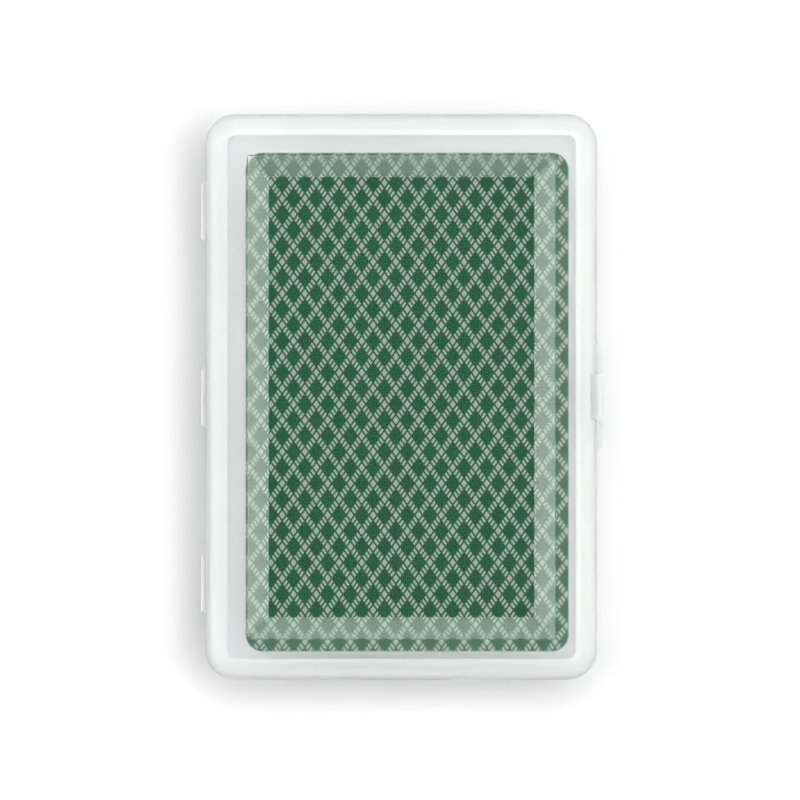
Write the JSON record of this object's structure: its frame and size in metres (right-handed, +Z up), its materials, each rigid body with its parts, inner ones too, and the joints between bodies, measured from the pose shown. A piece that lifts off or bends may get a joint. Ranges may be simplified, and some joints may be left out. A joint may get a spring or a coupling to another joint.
{
  "type": "playing card deck",
  "caption": "Pack of playing cards with a green diamond lattice back, in a frosted hinged case with a sunken window, film hinges and a snap latch.",
  "frame": {"origin": "middle of the case's underside, on the surface that it lies on", "axes": "+X towards the latch, +Y along the cards' length, +Z up through the window"},
  "size_m": [0.0712, 0.1, 0.02],
  "materials": {
    "frosted_case": "satin",
    "printed_card": "satin"
  },
  "bodies": {
    "base": {"case_base": "frosted_case", "hinge_film_near": "frosted_case", "hinge_film_middle": "frosted_case", "hinge_film_far": "frosted_case"},
    "lid": {"case_lid": "frosted_case"},
    "latch": {"latch_tongue": "frosted_case"},
    "pack": {"ace_of_spades": "printed_card", "two_of_spades": "printed_card", "three_of_spades": "printed_card", "four_of_spades": "printed_card", "five_of_spades": "printed_card", "six_of_spades": "printed_card", "seven_of_spades": "printed_card", "eight_of_spades": "printed_card", "nine_of_spades": "printed_card", "ten_of_spades": "printed_card", "jack_of_spades": "printed_card", "queen_of_spades": "printed_card", "king_of_spades": "printed_card", "ace_of_hearts": "printed_card", "two_of_hearts": "printed_card", "three_of_hearts": "printed_card", "four_of_hearts": "printed_card", "five_of_hearts": "printed_card", "six_of_hearts": "printed_card", "seven_of_hearts": "printed_card", "eight_of_hearts": "printed_card", "nine_of_hearts": "printed_card", "ten_of_hearts": "printed_card", "jack_of_hearts": "printed_card", "queen_of_hearts": "printed_card", "king_of_hearts": "printed_card", "ace_of_clubs": "printed_card", "two_of_clubs": "printed_card", "three_of_clubs": "printed_card", "four_of_clubs": "printed_card", "five_of_clubs": "printed_card", "six_of_clubs": "printed_card", "seven_of_clubs": "printed_card", "eight_of_clubs": "printed_card", "nine_of_clubs": "printed_card", "ten_of_clubs": "printed_card", "jack_of_clubs": "printed_card", "queen_of_clubs": "printed_card", "king_of_clubs": "printed_card", "ace_of_diamonds": "printed_card", "two_of_diamonds": "printed_card", "three_of_diamonds": "printed_card", "four_of_diamonds": "printed_card", "five_of_diamonds": "printed_card", "six_of_diamonds": "printed_card", "seven_of_diamonds": "printed_card", "eight_of_diamonds": "printed_card", "nine_of_diamonds": "printed_card", "ten_of_diamonds": "printed_card", "jack_of_diamonds": "printed_card", "queen_of_diamonds": "printed_card", "king_of_diamonds": "printed_card", "black_joker": "printed_card"},
    "top_card": {"red_joker": "printed_card"}
  },
  "joints": [
    {"name": "lid_hinge", "type": "hinge", "parent": "base", "child": "lid", "pos_m": [-0.0353, 0, 0.01], "axis": [0, -1, 0], "range_deg": [0, 180]},
    {"name": "latch_flex", "type": "hinge", "parent": "lid", "child": "latch", "pos_m": [0.0351, 0, 0.01675], "axis": [0, -1, 0], "range_deg": [0, 12], "stiffness_Nm_per_rad": 0.05},
    {"name": "pack_shift", "type": "slide", "parent": "base", "child": "pack", "axis": [1, 0, 0], "range_m": [-0.003, 0.001]},
    {"name": "top_card_slide", "type": "slide", "parent": "pack", "child": "top_card", "axis": [0, 1, 0], "range_m": [-0.0037, 0.0055]}
  ]
}
